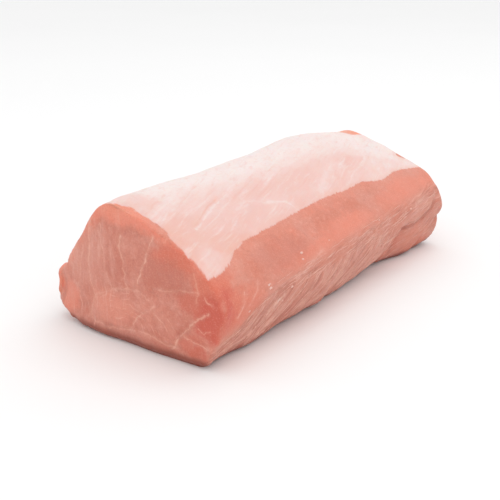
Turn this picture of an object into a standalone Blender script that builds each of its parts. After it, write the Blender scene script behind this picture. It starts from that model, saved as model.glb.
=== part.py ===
"""Boneless pork loin joint, cut square at both ends and lying on its underside.

The loin runs along X, with the cut face that shows its muscles at -X and the long flank at -Y.
Its section is a rounded polygon: flat sides, each with a facing and a distance from the core,
blended at the corners. The distances change along the loin, and two cut surfaces end it. Lobes,
creases and muscle fibres are relief on that form. The underside is flat where the loin lies.
"""

import math
from typing import NamedTuple

import bmesh
import bpy
from mathutils import Vector, noise

MM = 0.001

# Driving dimensions of the whole loin
LENGTH = 246 * MM
WIDTH = 124 * MM
HEIGHT = 78 * MM
CORE_HEIGHT = 36 * MM
CORNER_SHARPNESS = 13.0

# How far each cut bulges at its middle, and falls back at the flank's corner and at the floor
FRONT_BULGE = 4 * MM
BACK_BULGE = 4 * MM
FLANK_FALL = 1.5 * MM
FLANK_FALL_FROM = -34 * MM
FLOOR_FALL = 3.5 * MM
FLOOR_FALL_FROM = 12 * MM

# Faces of the block along the loin, across it and up it
LENGTH_STEPS = 50
WIDTH_STEPS = 24
HEIGHT_STEPS = 16

# Bundles of muscle fibre that show as ridges where the skin is steep. A power of the distance
# from the core fades them out over the cuts
FIBRE_DEPTH = 0.9 * MM
FIBRE_SPACING = 11 * MM
FIBRE_LENGTH = 60 * MM
FIBRE_RISE = math.radians(42)
STEEP_FROM = 0.7
STEEP_BLEND = 0.2
CUT_FADE = 8

# Unevenness of the skin and of the cuts
SWELL_DEPTH = 1.1 * MM
SWELL_SIZE = 42 * MM
CUT_SWELL_DEPTH = 0.9 * MM
CUT_SWELL_SIZE = 26 * MM

LEAN_COLOUR = (0.66, 0.27, 0.20, 1.0)
LEAN_ROUGHNESS = 0.45


class Side(NamedTuple):
    """A flat side of the section: where it faces, in degrees up from +Y, and how far it is from
    the core, in millimetres, at five even stations from the front cut to the back one."""

    name: str
    facing: float
    distances: tuple


class Lobe(NamedTuple):
    """A swelling, or a hollow if its height is negative. Its place is a distance along the loin
    from the middle and a direction of the section in degrees. Sizes are in millimetres."""

    name: str
    along: float
    facing: float
    length: float
    spread: float
    height: float


class Crease(NamedTuple):
    """A fold line on the skin, from one place to another, each a distance along the loin and a
    direction of the section in degrees. Sizes are in millimetres."""

    name: str
    start: tuple
    end: tuple
    width: float
    depth: float


class Seam(NamedTuple):
    """A groove between two muscles on a cut, from one place to another, each a distance across
    the loin from its core and a height. Sizes are in millimetres."""

    name: str
    start: tuple
    end: tuple
    width: float
    depth: float


SIDES = (
    Side("underside", -90, (37.5, 37.5, 37.5, 37.5, 37.5)),
    Side("lower flank", -150, (57.5, 57.5, 56.5, 55.5, 57.0)),
    Side("flank ridge", 180, (60.5, 61.0, 60.5, 59.0, 57.5)),
    Side("upper flank", 132, (44.5, 41.0, 40.0, 40.0, 38.5)),
    Side("fat slope", 109, (38.5, 34.5, 34.0, 34.5, 28.5)),
    Side("crest", 75, (50.5, 49.5, 51.0, 53.0, 43.0)),
    Side("rib slope", 38, (43.0, 45.5, 48.0, 50.0, 47.5)),
    Side("rib side", 3, (64.0, 65.0, 65.0, 64.0, 61.0)),
    Side("rib underside", -41, (61.5, 63.5, 64.0, 65.0, 63.0)),
)

LOBES = (
    Lobe("chain muscle lip", -119, -14, 9, 15, 3.3),
    Lobe("front heel", -84, -140, 16, 14, 1.7),
    Lobe("hollow under the flank", 50, -140, 26, 18, -2.4),
    Lobe("far heel", 92, -143, 20, 16, 1.9),
    Lobe("flank belly", -20, -172, 50, 20, 2.2),
    Lobe("shoulder of the fat", 45, 82, 38, 24, 1.8),
    Lobe("rib side hollow", 20, 20, 40, 16, -2.0),
)

CREASES = (
    Crease("fold over the hollow", (49, -143), (70, -168), 4.0, 2.4),
    Crease("far fold", (101, -148), (122, -166), 4.0, 2.2),
    Crease("heel fold", (-66, -143), (-40, -160), 4.0, 0.9),
    Crease("middle fold", (-16, -143), (10, -160), 4.0, 0.9),
)

SEAMS = (
    Seam("under the eye muscle", (40, 14), (13, 31), 4.5, 1.2),
    Seam("over the lower muscle", (13, 31), (-42, 43), 4.5, 0.9),
    Seam("beside the chain muscle", (-31, 17), (-47, 32), 4.5, 1.1),
    Seam("below the chain muscle", (-31, 17), (-43, 8), 4.0, 0.8),
)


def smooth(t):
    """Eases t from 0 to 1, and holds it there."""
    t = min(1.0, max(0.0, t))
    return t * t * (3 - 2 * t)


def along(values, t):
    """A smooth curve through evenly spaced values, read at t from 0 to 1."""
    last = len(values) - 1
    place = min(last, max(0.0, t * last))
    i = min(last - 1, int(place))
    f = place - i
    before, here, there, after = (values[min(last, max(0, j))] for j in range(i - 1, i + 3))
    slope_here = (there - before) / 2
    slope_there = (after - here) / 2
    return (
        here * (1 + 2 * f) * (1 - f) ** 2
        + slope_here * f * (1 - f) ** 2
        + there * f * f * (3 - 2 * f)
        + slope_there * f * f * (f - 1)
    )


def turn_between(a, b):
    """The signed angle from b to a, in degrees, the short way round."""
    return (a - b + 180) % 360 - 180


def section_radius(angle, t):
    """Distance from the core to the skin in a direction of the section, at t along the loin."""
    total = 0.0
    for side in SIDES:
        towards = math.cos(angle - math.radians(side.facing))
        if towards > 0:
            total += (towards / (along(side.distances, t) * MM)) ** CORNER_SHARPNESS
    return total ** (-1 / CORNER_SHARPNESS)


def lobe_height(x, angle):
    """How far the lobes lift the skin at a distance along the loin and a direction."""
    total = 0.0
    for lobe in LOBES:
        away = (x / MM - lobe.along) / lobe.length
        round_it = turn_between(math.degrees(angle), lobe.facing) / lobe.spread
        total += lobe.height * MM * math.exp(-away * away - round_it * round_it)
    return total


def groove_depth(groove, place, line):
    """How deep a groove is at a place, where place and line start at the groove's own start."""
    share = min(1.0, max(0.0, place.dot(line) / line.length_squared))
    away = (place - line * share).length / groove.width
    return groove.depth * MM * math.exp(-away * away)


def crease_depth(x, angle, radius):
    """How far the creases sink the skin at a distance along the loin and a direction."""
    total = 0.0
    per_degree = math.radians(1) * radius / MM
    for crease in CREASES:
        turn = turn_between(math.degrees(angle), crease.start[1])
        line_turn = turn_between(crease.end[1], crease.start[1])
        place = Vector((x / MM - crease.start[0], turn * per_degree))
        line = Vector((crease.end[0] - crease.start[0], line_turn * per_degree))
        total += groove_depth(crease, place, line)
    return total


def seam_depth(y, z):
    """How far the seams sink a cut at a place of the section."""
    total = 0.0
    for seam in SEAMS:
        start = Vector(seam.start)
        place = Vector((y / MM, z / MM)) - start
        total += groove_depth(seam, place, Vector(seam.end) - start)
    return total


def fibre_height(x, y, z):
    """Ridges of muscle fibre that climb the flank towards the far end."""
    across = z * math.cos(FIBRE_RISE) - x * math.sin(FIBRE_RISE)
    run = x * math.cos(FIBRE_RISE) + z * math.sin(FIBRE_RISE)
    place = Vector((across / FIBRE_SPACING, run / FIBRE_LENGTH, y / FIBRE_LENGTH))
    return FIBRE_DEPTH * noise.noise(place)


def flank_share(angle):
    """1 on the two flanks, where the fibres show, and 0 on the fat and the underside."""
    return smooth((abs(math.cos(angle)) - STEEP_FROM) / STEEP_BLEND)


def cut_surface(y, z, bulge):
    """How far a cut stands out of its plane at a place of the section."""
    middle = max(0.0, 1 - (y / (WIDTH / 2)) ** 2)
    flank = max(0.0, (FLANK_FALL_FROM - y) / -FLANK_FALL_FROM)
    floor = max(0.0, 1 - z / FLOOR_FALL_FROM)
    swell = CUT_SWELL_DEPTH * noise.noise(Vector((bulge / MM, y / CUT_SWELL_SIZE, z / CUT_SWELL_SIZE)))
    return bulge * middle + swell - FLANK_FALL * flank**2 - FLOOR_FALL * floor**2 - seam_depth(y, z)


def loin_point(block):
    """Maps a point of the block, each coordinate from -1 to 1, onto the loin."""
    t = (block.x + 1) / 2
    angle = math.atan2(block.z * HEIGHT, block.y * WIDTH)
    share = max(abs(block.y), abs(block.z))
    radius = section_radius(angle, t)
    x = block.x * LENGTH / 2
    skin = radius + lobe_height(x, angle) - crease_depth(x, angle, radius)
    y = share * skin * math.cos(angle)
    z = max(0.0, CORE_HEIGHT + share * skin * math.sin(angle))
    front = -LENGTH / 2 - cut_surface(y, z, FRONT_BULGE)
    back = LENGTH / 2 + cut_surface(y, z, BACK_BULGE)
    place = Vector((front + (back - front) * t, y, z))
    outward = Vector((0, math.cos(angle), math.sin(angle))) * smooth(share)
    swell = SWELL_DEPTH * noise.noise(place / SWELL_SIZE)
    fibres = fibre_height(*place) * flank_share(angle) * share**CUT_FADE
    return place + outward * (swell + fibres) * smooth(z / FLOOR_FALL_FROM)


def block_mesh():
    """A closed block from -1 to 1 each way, cut into even faces."""
    shape = bmesh.new()
    bmesh.ops.create_cube(shape, size=2)
    for axis, steps in enumerate((LENGTH_STEPS, WIDTH_STEPS, HEIGHT_STEPS)):
        for i in range(1, steps):
            place = Vector((0, 0, 0))
            place[axis] = -1 + 2 * i / steps
            normal = Vector((0, 0, 0))
            normal[axis] = 1
            everything = shape.verts[:] + shape.edges[:] + shape.faces[:]
            bmesh.ops.bisect_plane(shape, geom=everything, plane_co=place, plane_no=normal)
    return shape


def centre_on_floor(shape):
    """Moves the mesh so that its box is centred on X and Y and stands on Z 0."""
    low = Vector([min(v.co[i] for v in shape.verts) for i in range(3)])
    high = Vector([max(v.co[i] for v in shape.verts) for i in range(3)])
    middle = (low + high) / 2
    bmesh.ops.translate(shape, verts=shape.verts, vec=(-middle.x, -middle.y, -low.z))


def lean_material():
    material = bpy.data.materials.new("raw_lean")
    material.use_nodes = True
    surface = material.node_tree.nodes["Principled BSDF"]
    surface.inputs["Base Color"].default_value = LEAN_COLOUR
    surface.inputs["Roughness"].default_value = LEAN_ROUGHNESS
    surface.inputs["Metallic"].default_value = 0.0
    material.diffuse_color = LEAN_COLOUR
    return material


def make_loin(collection):
    shape = block_mesh()
    for vertex in shape.verts:
        vertex.co = loin_point(vertex.co)
    centre_on_floor(shape)
    bmesh.ops.recalc_face_normals(shape, faces=shape.faces)
    mesh = bpy.data.meshes.new("loin")
    shape.to_mesh(mesh)
    shape.free()
    mesh.materials.append(lean_material())
    mesh.shade_smooth()
    collection.objects.link(bpy.data.objects.new("loin", mesh))


def main():
    for old in list(bpy.data.objects):
        bpy.data.objects.remove(old, do_unlink=True)
    collection = bpy.data.collections.new("pork_loin")
    bpy.context.scene.collection.children.link(collection)
    make_loin(collection)


main()
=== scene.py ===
import math
from typing import NamedTuple

import bmesh
import bpy
from bpy.props import FloatProperty, FloatVectorProperty, IntProperty, PointerProperty
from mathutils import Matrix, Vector
from mathutils.kdtree import KDTree


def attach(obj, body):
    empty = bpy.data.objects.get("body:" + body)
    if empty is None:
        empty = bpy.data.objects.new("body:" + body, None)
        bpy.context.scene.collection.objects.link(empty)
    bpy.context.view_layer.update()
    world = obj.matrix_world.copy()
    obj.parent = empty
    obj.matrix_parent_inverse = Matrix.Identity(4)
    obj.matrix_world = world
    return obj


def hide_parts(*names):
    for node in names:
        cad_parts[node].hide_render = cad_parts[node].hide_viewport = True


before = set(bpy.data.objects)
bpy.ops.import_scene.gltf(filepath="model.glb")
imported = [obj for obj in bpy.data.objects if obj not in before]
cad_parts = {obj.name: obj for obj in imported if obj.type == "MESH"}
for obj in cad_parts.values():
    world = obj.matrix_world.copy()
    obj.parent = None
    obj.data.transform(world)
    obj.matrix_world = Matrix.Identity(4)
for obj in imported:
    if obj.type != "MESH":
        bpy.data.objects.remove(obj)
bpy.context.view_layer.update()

bl_info = {
    "name": "Raw pork loin",
    "version": (1, 0, 0),
    "blender": (4, 5, 0),
    "location": "View3D > Sidebar > Pork loin",
    "description": "Makes a raw boneless pork loin joint with its fat cover, muscles and fibres",
    "category": "Add Mesh",
}

MM = 0.001

# The line inside the joint that directions are measured round, and the mean distance to the skin
CORE_Y = -1.7
CORE_Z = 36.0
ARM = 57.0
HALF_LENGTH = 130.0

# Points of the CAD mesh that are closer than this are one
MERGE_DISTANCE = 0.001 * MM

# Two triangles that are flatter than this to each other become one four-sided face
FLAT_ENOUGH = math.radians(35)

# Points below this height, in metres, are on the floor
FLOOR_CONTACT = 0.1 * MM

# Width of the ring of small faces along the underside's edge
UNDERSIDE_BORDER = 4 * MM

# An edge is the rim of a cut where one of its faces looks along the joint less than the first
# share and the other more than the second
RIM_FACING = (0.6, 0.8)

# A point is on a cut if its normal's share along the joint is above this
CUT_FACING = 0.7

# Faces of the front cut and of the long flank look along -X or -Y by more than these shares
FRONT_FACING = 0.75
FLANK_FACING = 0.8

# A corner that rounding moves further than this is left rounded
LONGEST_SHIFT = 1.5 * MM

# A point whose normal has a height below this is inside the underside
STRAIGHT_DOWN = -0.99

# A fold's lip and groove lie aside of its line by this share of its width. The lip stands out by
# a share of its depth, and the groove has a share of its width
FOLD_ASIDE = 0.15
LIP_SHARE = 0.45
GROOVE_SHARE = 0.55

# The relief of a line on the front cut or the fat is wider than its colour by this many mm
SEAM_BORDER = 1.4
FAT_BORDER = 0.8

# The skin turns in just above the floor
UNDERCUT_HEIGHT = 3.5
UNDERCUT_DEPTH = 1.1

# The foot of the flanks is uneven over this distance by about this much
RAGGED_SIZE = 11.0
RAGGED_DEPTH = 3.0

# Height above which the front cut gets finer faces, and heights between which the flank does
FINE_CUT = 0.5 * MM
FINE_FLANK = (5 * MM, 26 * MM)

# A strand's points along it and sides round it, its thickness at the tips as a share of that at
# its middle, and the length of the shortest one as a share of the longest
STRAND_POINTS = 9
STRAND_SIDES = 5
TIP_SHARE = 0.15
SHORTEST_STRAND = 0.3

# The size of the smallest fleck as a share of the largest, and a fleck's length, width and height
# as shares of its size
SMALLEST_FLECK = 0.45
FLECK_FORM = (1.5, 0.8, 0.4)

# Times that the corners are set back to where they were before rounding
ROUNDING_STEPS = 4

# Further in mm than any two places of the joint are apart
FAR_AWAY = 1000.0

# Distances across the joint between which its two long sides begin
LONG_FLANK = (-34.0, -44.0)
RIB_SIDE = (36.0, 50.0)

# Distances along the joint between which its front part begins
FRONT_PART = (-60.0, -90.0)

# Red, green and blue light go these shares of this depth into the meat
GLOW_DEPTH = 4 * MM
GLOW_SHARES = (1.0, 0.35, 0.2)
SURFACE_IOR = 1.4

# Lumps on the cuts, fine grain all over, and waves of the fat cover's ends and of the height over
# the floor: a size along the surface and a height, in mm
LUMPS = (6.0, 0.7)
GRAIN = (2.4, 0.18)
FAT_END_WAVES = (8.0, 3.0)
FLOOR_WAVES = (12.0, 3.0)

# The rib side has this share of the long flank's fibres
RIB_FIBRES = 0.45

# Widths and lengths in mm: of single fibres and bundles of them in the relief, of pale threads,
# dark gaps that are painted shade between fibres and silvery areas in the colour, and of ridges in the bump
FIBRE_SIZE = (2.6, 30.0)
BUNDLE_SIZE = (7.0, 50.0)
THREAD_SIZE = (0.9, 16.0)
GAP_SIZE = (1.8, 24.0)
SHEEN_SIZE = (5.0, 36.0)
RIDGE_SIZE = (0.9, 18.0)

# Over the first distance, the fibres and the strands bend aside by up to half of the second
FIBRE_BEND = (24.0, 6.0)
STRAND_BEND = (7.0, 2.4)

# The far lobe loses this share of its fibres
BARE_PLACE = (84.0, -50.0, 10.0)
BARE_REACH = (28.0, 30.0, 17.0)
BARE_SHARE = 0.65

# The fibres climb the flank towards the far end: so far along for each mm up, with more added
# near the front cut and near the far one. The high fibres run almost level
FIBRE_LEAN = 0.9
FRONT_LEAN = 1.6
FAR_LEAN = 1.1
HIGH_LEAN = 8.0
HIGH_FROM = 27.0
HIGH_TO = 36.0

# Streaks in the fat cross the joint at this angle from its length
FAT_STREAK_TURN = math.radians(22)

# A patch of colour is full below the second share of its reach and gone above the first
PATCH_FADE = (1.25, 0.55)

# A line of tissue has a core, and a halo that is this many times as wide
CORE_SHARE = 0.8
HALO_SHARE = 0.3
HALO_WIDTH = 3.0

# The fringe of the fat cover is of hairs this wide and long in mm, which lean along the joint by
# this much for each mm up
HAIR_WIDTH = 1.1
HAIR_LENGTH = 9.0
HAIR_LEAN = 0.6

# The small muscle below the eye of the front cut, and the middle of the wrinkles on it as (y, z).
# Each mm outwards turns their wave by this many radians
SMALL_MUSCLE = (-127.0, -4.0, 22.0)
SMALL_MUSCLE_REACH = (20.0, 30.0, 15.0)
RIPPLE_MIDDLE = (0.0, 4.0, 8.0)
RIPPLE_FORM = (1.0, 1.3, 1.0)
RIPPLE_TURN = 1.9


class Profile(NamedTuple):
    """A smooth curve through points, whose values lie between low and high."""

    low: float
    high: float
    points: tuple


class Seam(NamedTuple):
    """A line through places in mm: (y, z) on the front cut, (x, z) on the flank. Seams and wisps are
    white tissue, and shades are painted shade. Its width is in mm."""

    name: str
    width: float
    strength: float
    groove: float
    points: tuple


class Fold(NamedTuple):
    """A flap of the flank's skin over what lies below it, through places (x, z) in mm."""

    name: str
    width: float
    depth: float
    points: tuple


class Swelling(NamedTuple):
    """A bump, or a dent if its height is negative. Its place, its reach along each axis and its
    height are in mm."""

    name: str
    place: tuple
    reach: tuple
    height: float


class Ledge(Swelling):
    """A swelling with a flat top and a steep edge."""


class Patch(NamedTuple):
    """A soft-edged area of another colour. Its place and its reach along each axis are in mm."""

    name: str
    colour: str
    strength: float
    place: tuple
    reach: tuple


# Edges of the fat cover: a distance along the joint in mm, and a direction in degrees from
# straight up, positive towards the long flank
FAT_EDGE = Profile(0, 100, (
    (-130, 73), (-115, 73), (-102, 70), (-92, 65), (-80, 62), (-65, 61), (-44, 59), (-22, 57),
    (0, 55), (28, 56), (47, 55), (69, 60), (94, 58), (106, 59), (130, 65),
))
RIB_FAT_EDGE = Profile(-100, 0, (
    (-130, -57), (-95, -66), (-50, -61), (0, -69), (50, -63), (90, -71), (130, -62),
))

# Where the fat cover starts behind the front cut and ends at the far one: a distance across the
# joint and one along it
FAT_START = Profile(-130, -110, (
    (-130, -124), (-52, -124), (-42, -124), (-33, -125), (-25, -122.5), (-17, -120.5),
    (-10, -122), (0, -120.5), (8, -122), (16, -124), (130, -124),
))
FAT_END = Profile(90, 135, (
    (-130, 125), (-60, 128), (-33, 129), (-27, 126), (-22, 122.5), (-17, 127), (-5, 132), (5, 131),
    (12, 124), (18, 114), (25, 111), (35, 115), (48, 120), (130, 121),
))

# Upper limit of the silvery fibres on the long flank: a distance along the joint and a height
FIBRE_LIMIT = Profile(0, 60, (
    (-130, 14), (-119, 17), (-112, 19), (-105, 23), (-99, 28), (-92, 32), (-83, 35), (-73, 37),
    (-57, 39), (-32, 40), (5, 41), (60, 43), (130, 46),
))

# Seams between the muscles and streaks in them, on the front cut
SEAMS = (
    Seam("left streak", 0.45, 0.45, 0.3, ((5, 63), (5.5, 57), (3, 49), (2, 42), (2, 34))),
    Seam("left streak's bulb", 1.3, 0.4, 0.1, ((4.6, 63), (5.4, 60))),
    Seam("middle streak", 0.4, 0.3, 0.1, ((20, 66), (19, 57), (17, 50), (17.5, 44))),
    Seam("right streak", 0.45, 0.6, 0.35, ((-18, 66), (-14.5, 61), (-13, 55), (-10, 47), (-6, 39))),
    Seam("left edge streak", 0.7, 0.4, 0.15, ((29, 62), (30, 52), (31, 40), (30, 31), (27, 22))),
    Seam("outer left streak", 0.6, 0.3, 0.1, ((36, 50), (38, 40), (40, 30), (44, 22))),
    Seam("under the eye, left", 0.9, 0.3, 0.6, ((33, 11), (31, 18), (26, 24), (14, 30), (4, 33), (-6, 34))),
    Seam("under the eye, right", 0.55, 0.3, 0.6, ((-16, 37.5), (-24, 39), (-34, 40.5), (-45, 42.5))),
    Seam("lower lobe, left", 0.7, 0.35, 0.7, ((33, 11), (27, 7.5), (18, 7), (8, 9), (2, 10))),
    Seam("lower lobe, right", 0.5, 0.45, 0.6, ((2, 10), (-1, 13), (-5, 19), (-12, 24), (-17, 29))),
    Seam("lower bevel", 0.7, 0.4, 0.6, ((2, 10), (-8, 11), (-17, 10.5), (-25, 9), (-31, 8.5))),
    Seam("chain seam, up", 0.6, 0.6, 1.0, ((-32, 16.5), (-39, 22), (-43, 27), (-49, 31), (-52, 33))),
    Seam("chain seam, down", 0.6, 0.65, 0.7, ((-32, 16.5), (-31, 13), (-30, 10), (-27, 7.5))),
    Seam("chain seam, right", 0.55, 0.5, 0.7, ((-32, 16.5), (-38, 15), (-43, 14), (-50, 14))),
    Seam("eye muscle rim streak", 0.5, 0.3, 0.2, ((-43.5, 52), (-44.5, 46), (-45, 38))),
    Seam("dark muscle vein", 0.5, 0.5, 0.2, ((-50, 41), (-52, 38.5), (-55, 38))),
    Seam("dark muscle lower vein", 0.45, 0.45, 0.2, ((-45, 24), (-49, 22), (-53, 23.5))),
)

# White tissue on the long flank
WISPS = (
    Seam("fibre limit", 0.8, 0.45, 0.0, ((-62, 34), (-46, 37.5), (-30, 41))),
    Seam("upper wisp", 0.6, 0.35, 0.0, ((-104, 32), (-96, 38), (-92, 42))),
    Seam("front wisp", 0.7, 0.45, 0.0, ((-112, 29), (-107, 35), (-105, 40))),
    Seam("flap edge", 0.7, 0.9, 0.0, ((31, 27), (38, 24.5), (44, 23.5), (50, 23.5), (57, 25.5))),
    Seam("far flap edge", 0.6, 0.4, 0.0, ((86, 28), (96, 31), (106, 35))),
    Seam("front strand", 1.6, 0.8, 0.0, ((-84, 20), (-80, 24), (-72, 28))),
    Seam("low front strand", 1.1, 0.8, 0.0, ((-80, 11), (-76, 14), (-70, 19))),
    Seam("long front strand", 0.8, 0.7, 0.0, ((-112, 8), (-100, 9), (-90, 12.5), (-86, 17))),
    Seam("front strand, low", 0.8, 0.6, 0.0, ((-94, 5), (-84, 9), (-76, 13))),
    Seam("middle strand", 0.7, 0.5, 0.0, ((-37, 14), (-30, 20), (-23, 27), (-16, 32))),
    Seam("far strand", 0.7, 0.4, 0.0, ((22, 9), (30, 17), (40, 26))),
)

# Painted shade: dark lines under the folds of the flank and along its foot, two of them also carved as
# grooves
SHADES = (
    Seam("under the front fold", 2.6, 0.6, 0.5, ((-91, 13), (-88, 18), (-85, 23), (-79, 27), (-72, 30))),
    Seam("under the heel fold", 2.2, 0.5, 0.4, ((-74, 6), (-66, 12), (-60, 19))),
    Seam("foot of the front flank", 2.4, 0.5, 0.0, ((-104, 3), (-96, 4.5), (-88, 4))),
    Seam("under the flap", 2.0, 0.6, 0.0, ((62, 26), (66, 18), (68, 9))),
    Seam("over the far lobe", 1.8, 0.55, 0.0, ((66, 26), (82, 25), (96, 28), (110, 34))),
)

# Grooves in the fat, through places (x, y)
FAT_GROOVES = (
    Seam("front groove", 0.8, 0.3, 0.4, ((-126, -10), (-111, -3), (-92, 5))),
    Seam("groove over the slope", 0.7, 0.55, 0.6, ((-102, -24), (-83, -15), (-65, -8))),
    Seam("groove beside it", 0.8, 0.25, 0.4, ((-98, -8), (-80, 0), (-66, 6))),
    Seam("middle groove", 0.7, 0.3, 0.4, ((-54, -12), (-40, -7), (-24, -2))),
)

# Lighter marks in the fat, through places (x, y)
FAT_MARKS = (
    Seam("pale mark", 1.4, 0.5, -0.2, ((-37, -23), (-25, -27), (-23, -36), (-19, -41))),
    Seam("lip of the groove", 1.0, 0.5, -0.3, ((-103, -26.5), (-83, -17.5), (-62, -9.5))),
    Seam("pale arc", 1.6, 0.3, -0.1, ((-66, -22), (-50, -17), (-37, -23))),
    Seam("front mark", 1.2, 0.4, -0.2, ((-126, -14), (-108, -6), (-90, 1))),
    Seam("far mark", 2.2, 0.3, -0.1, ((8, -30), (24, -22), (44, -16))),
)

FOLDS = (
    Fold("flap over the hollow", 3.5, 1.2, ((31, 26), (44, 23), (57, 25), (70, 27))),
    Fold("edge of the flap", 4.5, 2.6, ((54, 1), (57, 10), (58.5, 20), (62, 28))),
    Fold("fold above the far lobe", 3.5, 2.0, ((60, 28), (75, 27), (87, 26.5), (104, 32), (119, 40))),
    Fold("far fold", 3.5, 1.6, ((100, 12), (110, 18), (124, 24))),
    Fold("heel fold", 3.5, 1.0, ((-84, 3), (-70, 12), (-58, 24))),
    Fold("middle fold", 3.5, 1.0, ((-24, 3), (-10, 12), (2, 24))),
)

SWELLINGS = (
    Swelling("rim of the lip", (-127, 61, 21), (4, 9, 11), -1.2),
    Swelling("middle of the lip", (-120, 62, 21), (14, 10, 7), -2.8),
    Swelling("dent over the lip", (-118, 58, 36.5), (10, 9, 4), -2.6),
    Swelling("dent under the lip", (-119, 56, 4), (8, 9, 3), -1.4),
    Swelling("chain muscle end", (-124, -50, 30), (9, 12, 12), 1.2),
    Swelling("lower lobe", (-126, 18, 20), (9, 17, 9), 1.3),
    Swelling("eye muscle", (-127, 6, 55), (9, 24, 16), 1.0),
    Swelling("crest corner", (-127, 8, 80), (8, 13, 7), -3.0),
    Swelling("far crest", (118, 8, 72), (8, 9, 6), -0.9),
    Swelling("far shoulder", (121, -9, 65), (8, 8, 6), 0.9),
    Swelling("hollow behind the flap", (68, -50, 12), (12, 14, 12), -1.6),
    Swelling("heel bump", (-20, -48, 4), (5, 9, 5), 1.6),
    Swelling("upper far lobe", (121, -58, 33), (8, 9, 9), 1.0),
    Swelling("upper far corner", (125, -45, 54), (9, 9, 9), 1.5),
    Swelling("far end", (127, -56, 36), (7, 7, 7), -1.2),
    Swelling("lower far lobe", (112, -54, 12), (10, 9, 8), 1.5),
)

# Swellings that stand out level with the floor
SPREADS = (
    Swelling("foot of the front cut", (-127, 30, 0), (10, 24, 8), 3.2),
    Swelling("lower edge of the flap", (-116, 60, 6), (7, 9, 6), 4.2),
)

LEDGES = (
    Ledge("flap behind the rim", (-117, 62, 20.5), (6, 10, 12), 2.5),
    Ledge("upper corner of the flap", (-117, 61, 28), (6, 10, 5), 1.3),
    Ledge("lower corner of the flap", (-116, 59, 10), (6, 10, 5), 2.4),
)

# Flecks of fat on the flank, as (x, z), and the y outside it from which they go straight on to it
FLECK_PLACES = (
    (-48, 43.5), (-50, 41), (-85, 38), (-84.5, 36), (-76, 26), (-73, 25), (-89.5, 14), (-85, 8),
    (78, 38), (-66, 31), (-102, 29), (-20, 43), (36, 41),
)
FLECK_START = -90.0

LEAN_PATCHES = (
    Patch("upper rim", "warm_lean", 0.9, (-127, 3, 76), (10, 25, 9)),
    # Painted light on the top of the rim
    Patch("top of the rim", "bright_lean", 0.35, (-123, 4, 79), (10, 24, 8)),
    Patch("right rim", "ruddy_lean", 0.95, (-126, -32, 57), (9, 15, 9)),
    Patch("corner", "ruddy_lean", 0.9, (-123, -50, 46), (10, 9, 8)),
    Patch("corner halo", "ruddy_lean", 0.7, (-117, -58, 33), (10, 8, 12)),
    Patch("beside the corner", "ruddy_lean", 0.65, (-106, -59, 33), (16, 9, 10)),
    Patch("over the corner", "ruddy_lean", 0.6, (-118, -52, 50), (12, 9, 6)),
    Patch("left edge", "warm_lean", 0.7, (-124, 49, 14), (9, 7, 14)),
    Patch("lip", "warm_lean", 0.9, (-117, 61, 24), (8, 7, 12)),
    Patch("lower muscle", "peach_lean", 0.75, (-126, 15, 20), (9, 19, 10)),
    Patch("lower muscle, right", "peach_lean", 0.2, (-126, -18, 24), (9, 14, 9)),
    Patch("left of the eye", "pale_lean", 0.7, (-126, 31, 44), (9, 14, 19)),
    Patch("middle of the eye", "dull_lean", 0.7, (-126, -24, 47), (9, 17, 10)),
    Patch("hollow of the eye", "dull_lean", 0.6, (-126, 8, 44), (9, 9, 7)),
    Patch("red beside the seam", "red_lean", 0.7, (-125, -40, 37), (9, 8, 6)),
    Patch("red under the seam", "red_lean", 0.7, (-125, -40, 12), (9, 9, 6)),
    Patch("chain muscle", "red_lean", 0.9, (-124, -51, 29), (9, 10, 14)),
    Patch("chain muscle's core", "dark_lean", 1.0, (-121, -55, 35), (9, 9, 11)),
    Patch("chain muscle's foot", "dark_lean", 0.9, (-124, -49, 24), (9, 8, 8)),
    Patch("chain muscle's toe", "red_lean", 0.8, (-124, -43, 8), (8, 7, 4)),
    Patch("flank's near glow", "warm_lean", 0.45, (-35, -58, 41), (26, 9, 5)),
    Patch("flank's middle glow", "warm_lean", 0.6, (10, -55, 44), (30, 12, 7)),
    Patch("flank's far glow", "warm_lean", 0.6, (90, -47, 46), (46, 14, 11)),
    Patch("flank's dull part", "dull_lean", 0.4, (-62, -50, 45), (30, 12, 10)),
    # Painted shade, with a duller tone, where the front cut turns under and along the foot of the flank
    Patch("bevel of the cut", "bevel_lean", 0.85, (-124, 14, 4), (9, 34, 6)),
    Patch("foot of the flank", "bevel_lean", 0.5, (-88, -50, 6), (26, 9, 8)),
    Patch("hollow", "red_lean", 0.7, (64, -50, 13), (8, 10, 13)),
    Patch("far lobe", "warm_lean", 0.5, (112, -54, 10), (10, 9, 7)),
    Patch("far rim", "bright_lean", 1.0, (116, 8, 74), (20, 40, 16)),
)

FAT_PATCHES = (
    Patch("front crest", "pink_fat", 0.6, (-114, 6, 74), (16, 14, 12)),
    Patch("front slope", "peach_fat", 0.5, (-112, -27, 66), (20, 16, 12)),
    Patch("near the front edge", "peach_fat", 0.4, (-118, -34, 62), (9, 16, 12)),
    Patch("low slope", "peach_fat", 0.6, (-92, -40, 57), (18, 10, 9)),
    Patch("middle slope", "pink_fat", 0.5, (-60, -26, 62), (40, 14, 10)),
    Patch("middle", "pink_fat", 0.5, (-5, -14, 67), (36, 10, 10)),
    Patch("far spot", "pink_fat", 0.6, (66, -15, 67), (15, 7, 8)),
    Patch("near spot", "white_fat", 0.35, (-110, -38, 60), (7, 4, 5)),
    Patch("far white", "white_fat", 0.7, (112, -12, 66), (18, 18, 12)),
)


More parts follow.
